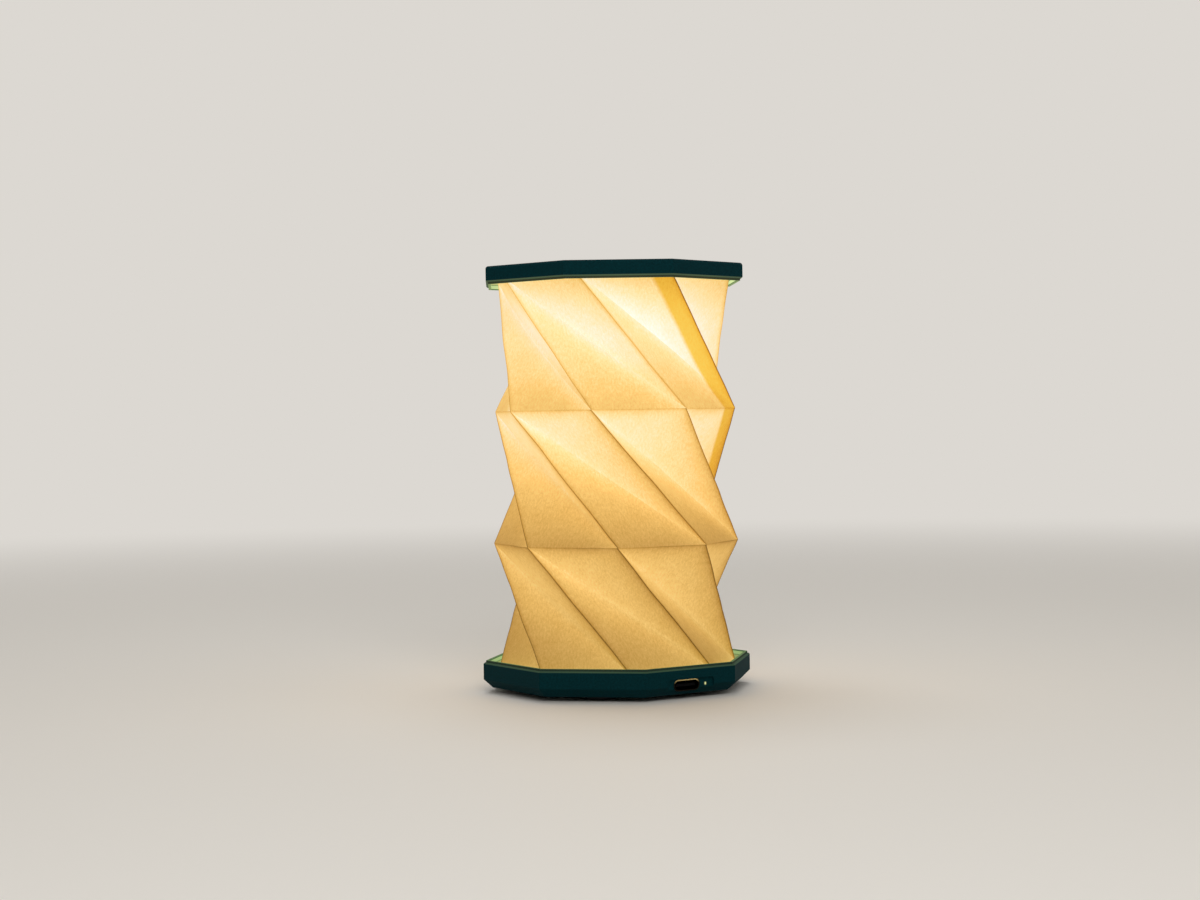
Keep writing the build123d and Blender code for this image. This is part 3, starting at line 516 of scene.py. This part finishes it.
# The folded ends' faces come in another order each run, so all faces are sorted
sleeve.verts.index_update()
sleeve.faces.sort(key=face_order)
for edge in sleeve.edges:
    edge.smooth = not edge.is_manifold or edge.calc_face_angle() < SHARP
mesh = bpy.data.meshes.new("shade")
sleeve.to_mesh(mesh)
sleeve.free()
mesh.materials.append(paper)
shade_piece = bpy.data.objects.new("pleated_shade", mesh)
scene.collection.objects.link(shade_piece)
thickness = shade_piece.modifiers.new("thickness", "SOLIDIFY")
thickness.thickness = PAPER
thickness.offset = -1
graph = bpy.context.evaluated_depsgraph_get()
shade_piece.data = bpy.data.meshes.new_from_object(shade_piece.evaluated_get(graph))
shade_piece.modifiers.clear()
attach(shade_piece, "base")
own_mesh(shade_piece)
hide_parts("paper_shade")

# ---------------------------------------------------------------- adhesive rings
# Two rings of double-sided tape hold the folded ends of the paper to the floor of the base and to the
# cap's liner: tissue soaked with clear acrylic glue, a little cloudy.


def dress(material, *names):
    """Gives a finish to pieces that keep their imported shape."""
    for name in names:
        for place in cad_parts[name].material_slots:
            place.link = "OBJECT"
            place.material = material


def relief(tree, shader, size, depth, stretch=(1.0, 1.0, 1.0)):
    """A fine unevenness of the surface, such as a mould's or a roller's, and how high each point is."""
    at = add(tree, "ShaderNodeTexCoord")["Object"]
    at = add(tree, "ShaderNodeMapping", {"Vector": at, "Scale": stretch})[0]
    high = add(tree, "ShaderNodeTexNoise", {"Vector": at, "Scale": 1 / size, "Detail": 2.0})[0]
    tilt = add(tree, "ShaderNodeBump", {"Height": high, "Distance": depth, "Strength": 0.7})[0]
    tree.links.new(tilt, shader["Normal"])
    return high


def tint(tree, shader, share, dark, light):
    """Colours a surface between two shades, by share."""
    share = add(tree, "ShaderNodeMapRange", {"Value": share, "From Min": 0.35, "From Max": 0.65})[0]
    colour = add(tree, "ShaderNodeMix", {0: share, 6: linear(dark), 7: linear(light)}, data_type="RGBA")[2]
    tree.links.new(colour, shader["Base Color"])
    return colour


tape, tree, shader = new_finish("double_sided_tape")
tint(tree, shader, relief(tree, shader, 0.0015, 0.00003), "#B9AE93", "#CDC4AC")
shader["Roughness"].default_value = 0.35
dress(tape, "shade_base_tape", "shade_cap_tape", "battery_tape")

# ---------------------------------------------------------------- housings
# Base and cap are ABS, moulded in a finely spark-eroded tool: deep teal, with a dull sheen. Light that
# slips past the paper turns both recesses mint, shines through the thin lip, and touches the rim.
LIP_LOW = 0.0096
LIP_HIGH = 0.1202
LIT_DEPTH = 0.003
CAP_FROM = 0.05  # all that is above this belongs to the cap
PAPER_FOOT = 0.033  # from the axis
WALL = 0.039

housing, tree, shader = new_finish("moulded_abs_teal")
tint(tree, shader, relief(tree, shader, 0.0005, 0.00003), "#02262A", "#022D32")
shader["Roughness"].default_value = 0.7
shader["Specular IOR Level"].default_value = 0.04
where = add(tree, "ShaderNodeTexCoord")
place = add(tree, "ShaderNodeSeparateXYZ", {0: where["Object"]})
facing = add(tree, "ShaderNodeSeparateXYZ", {0: where["Normal"]})
radial = add(tree, "ShaderNodeVectorMath", {0: where["Object"], 1: (1.0, 1.0, 0.0)}, operation="MULTIPLY")[0]
away = add(tree, "ShaderNodeVectorMath", {0: radial}, operation="LENGTH")[1]
radial = add(tree, "ShaderNodeVectorMath", {0: radial}, operation="NORMALIZE")[0]
outward = add(tree, "ShaderNodeVectorMath", {0: radial, 1: where["Normal"]}, operation="DOT_PRODUCT")[1]
from_low = add(tree, "ShaderNodeMath", {0: place["Z"], 1: LIP_LOW}, operation="SUBTRACT")[0]
from_low = add(tree, "ShaderNodeMath", {0: from_low}, operation="ABSOLUTE")[0]
from_high = add(tree, "ShaderNodeMath", {0: place["Z"], 1: LIP_HIGH}, operation="SUBTRACT")[0]
from_high = add(tree, "ShaderNodeMath", {0: from_high}, operation="ABSOLUTE")[0]
from_lip = add(tree, "ShaderNodeMath", {0: from_low, 1: from_high}, operation="MINIMUM")[0]
depth = add(tree, "ShaderNodeMath", {0: from_lip, 1: LIT_DEPTH}, operation="DIVIDE")[0]
# What each kind of face shows from some depth under the lip's edge on, in shares of the lit depth. The
# level faces are the lip's edge, the rim with its chamfer and the bottom of the recess. The others are
# the walls, outside and inside.
zones = []
for stops in (
    (
        (0.0, "#8A9B60"),
        (0.04, "#000000"),
        (0.15, "#505A3C"),
        (0.36, "#000000"),
        (0.68, "#CCD28A"),
        (0.92, "#000000"),
    ),
    ((0.0, "#373214"), (0.193, "#000000")),
    ((0.0, "#6C8458"), (0.1, "#DCEEA4"), (0.42, "#8FA468"), (0.5, "#D2CF86"), (0.88, "#000000")),
):
    zone = add(tree, "ShaderNodeValToRGB", {0: depth})[0]
    ramp = zone.node.color_ramp
    ramp.interpolation = "CONSTANT"
    ramp.elements.remove(ramp.elements[1])
    for share, colour in stops:
        stop = ramp.elements.new(share) if share else ramp.elements[0]
        stop.color = linear(colour)
    zones.append(zone)
on_level, on_outer_wall, on_inner_wall = zones
level_face = add(tree, "ShaderNodeMath", {0: facing["Z"]}, operation="ABSOLUTE")[0]
level_face = add(tree, "ShaderNodeMath", {0: level_face, 1: 0.5}, operation="GREATER_THAN")[0]
outer_face = add(tree, "ShaderNodeMath", {0: outward, 1: 0.0}, operation="GREATER_THAN")[0]
spill = add(tree, "ShaderNodeMix", {0: outer_face, 6: on_inner_wall, 7: on_outer_wall}, data_type="RGBA")[2]
spill = add(tree, "ShaderNodeMix", {0: level_face, 6: spill, 7: on_level}, data_type="RGBA")[2]
# The cap is nearer to the light than the base, and the paper's foot is nearer to it than the wall
in_cap = add(tree, "ShaderNodeMath", {0: place["Z"], 1: CAP_FROM}, operation="GREATER_THAN")[0]
reached = add(
    tree, "ShaderNodeMix", {0: in_cap, 6: linear("#BFCBBF"), 7: linear("#FFFFFF")}, data_type="RGBA"
)[2]
spill = add(
    tree, "ShaderNodeMix", {0: 1.0, 6: spill, 7: reached}, data_type="RGBA", blend_type="MULTIPLY"
)[2]
tree.links.new(spill, shader["Emission Color"])
near = add(
    tree,
    "ShaderNodeMapRange",
    {"Value": away, "From Min": PAPER_FOOT, "From Max": WALL, "To Min": 1.2, "To Max": 0.75},
)[0]
tree.links.new(near, shader["Emission Strength"])
dress(housing, "base_tray", "bottom_cover", "cap_shell", "cap_liner")

# ---------------------------------------------------------------- charging port and its light
# A port shell drawn from steel sheet and left bright, with a black nylon tongue in it. Beside it ends
# a clear acrylic pin, which shows the charging light behind it in its middle.
PAINTED_SHADE_TO = 0.0048
UNSHADED_FROM = 0.0056
steel, tree, shader = new_finish("drawn_steel_bright")
bright = tint(tree, shader, relief(tree, shader, 0.0004, 0.00002, (1.0, 0.1, 1.0)), "#B4A06C", "#D2BE86")
# Painted shade: its lower half faces the dark gap above the table, so it is painted dark there
out_of_painted_shade = add(tree, "ShaderNodeSeparateXYZ", {0: add(tree, "ShaderNodeTexCoord")["Object"]})["Z"]
out_of_painted_shade = add(tree, "ShaderNodeMapRange", {"Value": out_of_painted_shade, "From Min": PAINTED_SHADE_TO, "From Max": UNSHADED_FROM})[0]
bright = add(tree, "ShaderNodeMix", {0: out_of_painted_shade, 6: linear("#1C1812"), 7: bright}, data_type="RGBA")[2]
tree.links.new(bright, shader["Base Color"])
shader["Metallic"].default_value = 1.0
shader["Roughness"].default_value = 0.3
dress(steel, "usb_c_shell")

nylon, tree, shader = new_finish("glass_filled_nylon_black")
tint(tree, shader, relief(tree, shader, 0.0003, 0.00002), "#020203", "#060607")
shader["Roughness"].default_value = 0.6
shader["Specular IOR Level"].default_value = 0.05
dress(nylon, "usb_c_tongue")

LIGHT_SIDE = 0.0054
LIGHT_HEIGHT = 0.0042
LIT_RADIUS = 0.00016
FADED_RADIUS = 0.00042
pin, tree, shader = new_finish("clear_acrylic_lit")
tint(tree, shader, relief(tree, shader, 0.0005, 0.00001), "#4E5638", "#5C6442")
shader["Roughness"].default_value = 0.12
at = add(tree, "ShaderNodeTexCoord")["Object"]
at = add(tree, "ShaderNodeVectorMath", {0: at, 1: (LIGHT_SIDE, 0.0, LIGHT_HEIGHT)}, operation="SUBTRACT")[0]
# The lit spot is a little taller than it is wide
at = add(tree, "ShaderNodeVectorMath", {0: at, 1: (1.25, 0.0, 0.8)}, operation="MULTIPLY")[0]
off_middle = add(tree, "ShaderNodeVectorMath", {0: at}, operation="LENGTH")[1]
bright = add(
    tree,
    "ShaderNodeMapRange",
    {
        "Value": off_middle,
        "From Min": LIT_RADIUS,
        "From Max": FADED_RADIUS,
        "To Min": 0.85,
        "To Max": 0.0,
    },
)[0]
tree.links.new(bright, shader["Emission Strength"])
shader["Emission Color"].default_value = linear("#E4E8A0")
dress(pin, "charge_light_pipe")

lens, tree, shader = new_finish("phosphor_silicone")
tint(tree, shader, relief(tree, shader, 0.0004, 0.00001), "#E8B43C", "#F4CC62")
shader["Roughness"].default_value = 0.3
shader["Emission Color"].default_value = linear("#FFE9B0")
shader["Emission Strength"].default_value = 1.0
dress(lens, "charge_led", "leds")

# ---------------------------------------------------------------- bottom: feet and screws
# Four feet punched from black rubber sheet are glued into shallow round seats. Four zinc-plated steel
# screws with crossed slots lie flush beside them.
rubber, tree, shader = new_finish("nitrile_rubber_black")
tint(tree, shader, relief(tree, shader, 0.0008, 0.00005), "#121213", "#1E1E20")
shader["Roughness"].default_value = 0.75
dress(rubber, "rubber_feet")

zinc, tree, shader = new_finish("zinc_plated_steel")
tint(tree, shader, relief(tree, shader, 0.0006, 0.00002), "#8E9093", "#B4B6B8")
shader["Metallic"].default_value = 1.0
shader["Roughness"].default_value = 0.32
dress(zinc, "bottom_screws", "board_screws", "led_board_screws", "keeper_plate")

# ---------------------------------------------------------------- circuit board
# Glass laminate under green solder mask, with chips in black moulded resin, tan ceramic capacitors
# and a natural nylon plug for the battery.
laminate, tree, shader = new_finish("solder_mask_green")
tint(tree, shader, relief(tree, shader, 0.001, 0.00002), "#0B4A26", "#11592F")
shader["Roughness"].default_value = 0.3
dress(laminate, "main_board")

resin, tree, shader = new_finish("moulded_epoxy_black")
tint(tree, shader, relief(tree, shader, 0.0002, 0.00001), "#141416", "#1D1D20")
shader["Roughness"].default_value = 0.5
dress(resin, "charger_chip", "led_driver_chip", "power_inductor", "hall_sensor")

ceramic, tree, shader = new_finish("barium_titanate_ceramic")
tint(tree, shader, relief(tree, shader, 0.0003, 0.00001), "#8F7450", "#A58A64")
shader["Roughness"].default_value = 0.4
dress(ceramic, "chip_capacitors")

natural, tree, shader = new_finish("natural_nylon")
tint(tree, shader, relief(tree, shader, 0.0005, 0.00001), "#D5CBB2", "#E2DAC4")
shader["Roughness"].default_value = 0.42
shader["Subsurface Weight"].default_value = 0.1
dress(natural, "battery_plug")

# ---------------------------------------------------------------- battery
# A flat lithium cell in aluminium foil laminate, silver and slightly crinkled, with two leads in soft
# silicone.
foil, tree, shader = new_finish("pouch_foil")
tint(tree, shader, relief(tree, shader, 0.004, 0.00012), "#A9ABAD", "#C6C8C9")
shader["Metallic"].default_value = 0.9
shader["Roughness"].default_value = 0.35
dress(foil, "battery_cell")

jacket, tree, shader = new_finish("silicone_jacket")
tint(tree, shader, relief(tree, shader, 0.001, 0.00002), "#CFC7B6", "#DDD6C8")
shader["Roughness"].default_value = 0.5
dress(jacket, "battery_leads", "base_strain_relief", "cap_strain_relief")

# ---------------------------------------------------------------- magnet
# A sintered magnet, nickel plated: bright and faintly yellow.
nickel, tree, shader = new_finish("nickel_plate")
tint(tree, shader, relief(tree, shader, 0.002, 0.00001), "#B8B2A4", "#CFC9BA")
shader["Metallic"].default_value = 1.0
shader["Roughness"].default_value = 0.18
dress(nickel, "cap_magnet")

# ---------------------------------------------------------------- light in the cap
# A round aluminium board, white on the side that carries the light emitters, under a thin dome of opal
# acrylic that glows evenly.
white, tree, shader = new_finish("solder_mask_white")
tint(tree, shader, relief(tree, shader, 0.001, 0.00001), "#DAD8D0", "#EAE8E0")
shader["Roughness"].default_value = 0.35
dress(white, "led_board")

opal, tree, shader = new_finish("opal_acrylic_lit")
tint(tree, shader, relief(tree, shader, 0.002, 0.00001), "#EFE6D0", "#F7F0DE")
shader["Roughness"].default_value = 0.3
shader["Emission Color"].default_value = linear("#FFE6AE")
shader["Emission Strength"].default_value = 1.5
dress(opal, "led_diffuser")

# ---------------------------------------------------------------- lead between the housings
# Two thin wires in one silicone jacket feed the light. They hang in three loose turns round the axis,
# and lie flat between the housings when the cap is down.
LEAD = 0.0009
LEAD_LOW = 0.0074
LEAD_HIGH = 0.1188
LEAD_SIDE = 0.011
LEAD_END = 0.004
LOOP_RADIUS = 0.007
LOOPS = 3
LOOP_POINTS = 6

route = [(0, -LEAD_SIDE, LEAD_LOW), (0, -LEAD_SIDE, LEAD_LOW + LEAD_END)]
loops_low = LEAD_LOW + 2 * LEAD_END
loops_high = LEAD_HIGH - 2 * LEAD_END
for i in range(LOOPS * LOOP_POINTS + 1):
    angle = radians(-90) + 2 * pi * i / LOOP_POINTS
    share = i / (LOOPS * LOOP_POINTS)
    level = loops_low + (loops_high - loops_low) * share
    route.append((LOOP_RADIUS * cos(angle), LOOP_RADIUS * sin(angle), level))
route += [(0, 0, LEAD_HIGH - LEAD_END), (0, 0, LEAD_HIGH)]
wire = bpy.data.curves.new("lead", "CURVE")
wire.dimensions = "3D"
wire.bevel_depth = LEAD / 2
wire.bevel_resolution = 3
wire.use_fill_caps = True
spline = wire.splines.new("NURBS")
spline.points.add(len(route) - 1)
for point, spot in zip(spline.points, route):
    point.co = (*spot, 1)
spline.order_u = 3
spline.use_endpoint_u = True
drawn = bpy.data.objects.new("drawn_lead", wire)
scene.collection.objects.link(drawn)
graph = bpy.context.evaluated_depsgraph_get()
lead = bpy.data.objects.new("light_lead", bpy.data.meshes.new_from_object(drawn.evaluated_get(graph)))
bpy.data.objects.remove(drawn)
lead.data.materials.clear()
lead.data.materials.append(jacket)
scene.collection.objects.link(lead)
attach(lead, "base")
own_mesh(lead)
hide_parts("lamp_lead")

# ---------------------------------------------------------------- table and light
# A plain pale table, which fades into an equally pale background, and three large soft lamps.
PALE = "#DCD8D2"
HALF_TABLE = 6.0
FADE_FROM = 0.25
FADE_TO = 1.1
table_mesh = bpy.data.meshes.new("table")
corners = [(x * HALF_TABLE, y * HALF_TABLE, 0) for x, y in ((-1, -1), (1, -1), (1, 1), (-1, 1))]
table_mesh.from_pydata(corners, [], [(0, 1, 2, 3)])
table = bpy.data.objects.new("table", table_mesh)
scene.collection.objects.link(table)
top, tree, shader = new_finish("painted_table")
shader["Base Color"].default_value = linear("#EEEAE3")
shader["Roughness"].default_value = 0.7
at = add(tree, "ShaderNodeTexCoord")["Object"]
away = add(tree, "ShaderNodeVectorMath", {0: at}, operation="LENGTH")[1]
far = add(
    tree,
    "ShaderNodeMapRange",
    {"Value": away, "From Min": FADE_FROM, "From Max": FADE_TO},
    interpolation_type="SMOOTHSTEP",
)[0]
plain = add(tree, "ShaderNodeEmission", {"Color": linear(PALE), "Strength": 1.0})[0]
lit = tree.nodes["Principled BSDF"].outputs[0]
faded = add(tree, "ShaderNodeMixShader", {0: far, 1: lit, 2: plain})[0]
tree.links.new(faded, tree.nodes["Material Output"].inputs["Surface"])
table_mesh.materials.append(top)

# The room is seen at full strength, in glossy and clear things too, and lights the lamp at a third of it
ROOM_LIGHT = 0.32
world = bpy.data.worlds.new("pale_room")
scene.world = world
world.use_nodes = True
tree = world.node_tree
path = add(tree, "ShaderNodeLightPath")
seen = path["Is Camera Ray"]
for kind in ("Is Transmission Ray", "Is Glossy Ray"):
    seen = add(tree, "ShaderNodeMath", {0: seen, 1: path[kind]}, operation="MAXIMUM")[0]
room = add(tree, "ShaderNodeBackground", {"Color": linear(PALE), "Strength": ROOM_LIGHT})[0]
backdrop = add(tree, "ShaderNodeBackground", {"Color": linear(PALE), "Strength": 1.0})[0]
mixed = add(tree, "ShaderNodeMixShader", {0: seen, 1: room, 2: backdrop})[0]
tree.links.new(mixed, tree.nodes["World Output"].inputs[0])

middle = Vector((0, 0, 0.06))
for name, aside, beyond, high, size, power in (
    ("key_lamp", 0.05, -0.8, 0.5, 0.5, 3.2),
    ("side_lamp", 0.8, -0.1, 0.5, 0.7, 0.4),
    ("top_lamp", -0.1, 0.3, 0.95, 0.6, 3.0),
):
    lamp = bpy.data.objects.new(name, bpy.data.lights.new(name, "AREA"))
    lamp.data.size = size
    lamp.data.energy = power
    lamp.location = right * aside + ahead * beyond + Vector((0, 0, high))
    lamp.rotation_euler = (middle - lamp.location).to_track_quat("-Z", "Y").to_euler()
    scene.collection.objects.link(lamp)
